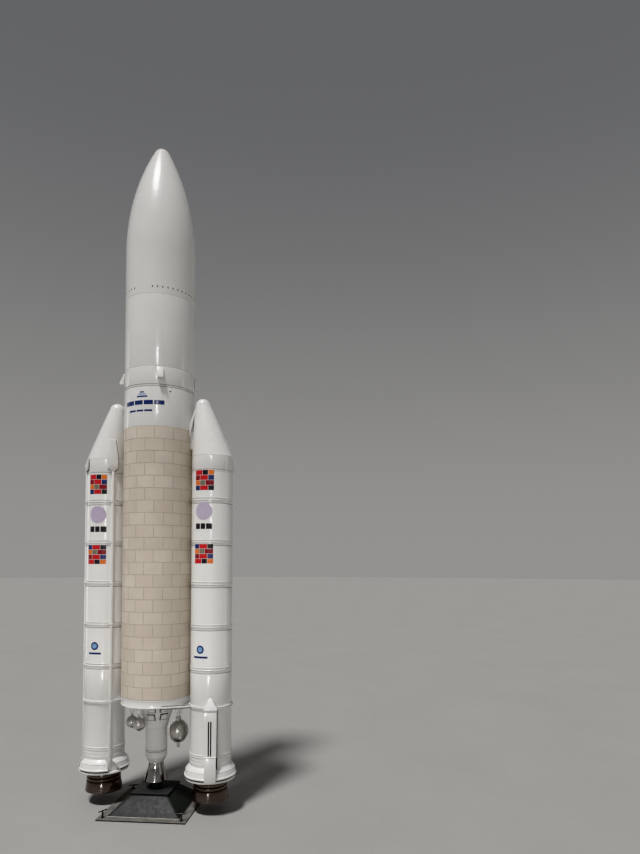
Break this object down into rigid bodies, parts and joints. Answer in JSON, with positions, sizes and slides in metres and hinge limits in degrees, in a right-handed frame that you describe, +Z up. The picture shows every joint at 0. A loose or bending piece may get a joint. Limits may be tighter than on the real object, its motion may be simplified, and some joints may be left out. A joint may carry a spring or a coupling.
{
  "type": "display model of a space rocket",
  "caption": "Scale display model of a space rocket: core with ogive fairing, strap-on boosters, and a pyramid stand on a square plate.",
  "frame": {"origin": "on the core's axis at floor level, centre of the base plate's underside", "axes": "+Z up along the core, +X towards the right booster, -Y towards the front"},
  "size_m": [1.041, 0.605, 4.18],
  "materials": {
    "white_gloss": "glossy white paint",
    "stage_cream": "matt cream paint with brick-like panel joints",
    "stand_black": "satin black paint",
    "nozzle_metal": "dark glossy bronze-black paint",
    "tank_metal": "turned grey metal"
  },
  "bodies": {
    "root": {"base_plate": "stand_black", "stand_pyramid": "stand_black", "stand_top_plate": "stand_black", "stand_column": "stand_black", "engine_bell": "nozzle_metal", "engine_shroud": "white_gloss", "thrust_cone": "white_gloss", "core_aft_ring": "white_gloss", "core_stage": "stage_cream", "upper_stage": "white_gloss", "equipment_bay": "white_gloss", "fairing_cylinder": "white_gloss", "fairing_nose": "white_gloss", "gas_sphere_1": "tank_metal", "gas_sphere_2": "tank_metal", "sphere_hanger_1": "tank_metal", "sphere_hanger_2": "tank_metal", "ovoid_tank": "tank_metal", "ovoid_hanger": "white_gloss", "thruster_block_1": "white_gloss", "thruster_block_2": "white_gloss", "thruster_block_3": "white_gloss", "thruster_block_4": "white_gloss", "left_nozzle": "nozzle_metal", "left_aft_skirt": "white_gloss", "left_flange_ring": "white_gloss", "left_case": "white_gloss", "left_forward_skirt": "white_gloss", "left_nose": "white_gloss", "left_duct_inner": "white_gloss", "left_duct_outer": "white_gloss", "left_pod_inner": "white_gloss", "left_pod_outer": "white_gloss", "left_actuator_box": "white_gloss", "left_forward_fitting": "white_gloss", "left_rear_strut": "white_gloss", "right_nozzle": "nozzle_metal", "right_aft_skirt": "white_gloss", "right_flange_ring": "white_gloss", "right_case": "white_gloss", "right_forward_skirt": "white_gloss", "right_nose": "white_gloss", "right_duct_inner": "white_gloss", "right_duct_outer": "white_gloss", "right_pod_inner": "white_gloss", "right_pod_outer": "white_gloss", "right_actuator_box": "white_gloss", "right_forward_fitting": "white_gloss", "right_rear_strut": "white_gloss"},
    "screw_1": {"levelling_screw_1": "stand_black"},
    "screw_2": {"levelling_screw_2": "stand_black"},
    "screw_3": {"levelling_screw_3": "stand_black"},
    "screw_4": {"levelling_screw_4": "stand_black"}
  },
  "joints": [
    {"name": "screw_1_turn", "type": "hinge", "parent": "root", "child": "screw_1", "pos_m": [-0.20623, -0.26779, 0], "axis": [0, 0, 1], "continuous": true},
    {"name": "screw_2_turn", "type": "hinge", "parent": "root", "child": "screw_2", "pos_m": [0.26779, -0.20623, 0], "axis": [0, 0, 1], "continuous": true},
    {"name": "screw_3_turn", "type": "hinge", "parent": "root", "child": "screw_3", "pos_m": [0.20623, 0.26779, 0], "axis": [0, 0, 1], "continuous": true},
    {"name": "screw_4_turn", "type": "hinge", "parent": "root", "child": "screw_4", "pos_m": [-0.26779, 0.20623, 0], "axis": [0, 0, 1], "continuous": true}
  ]
}
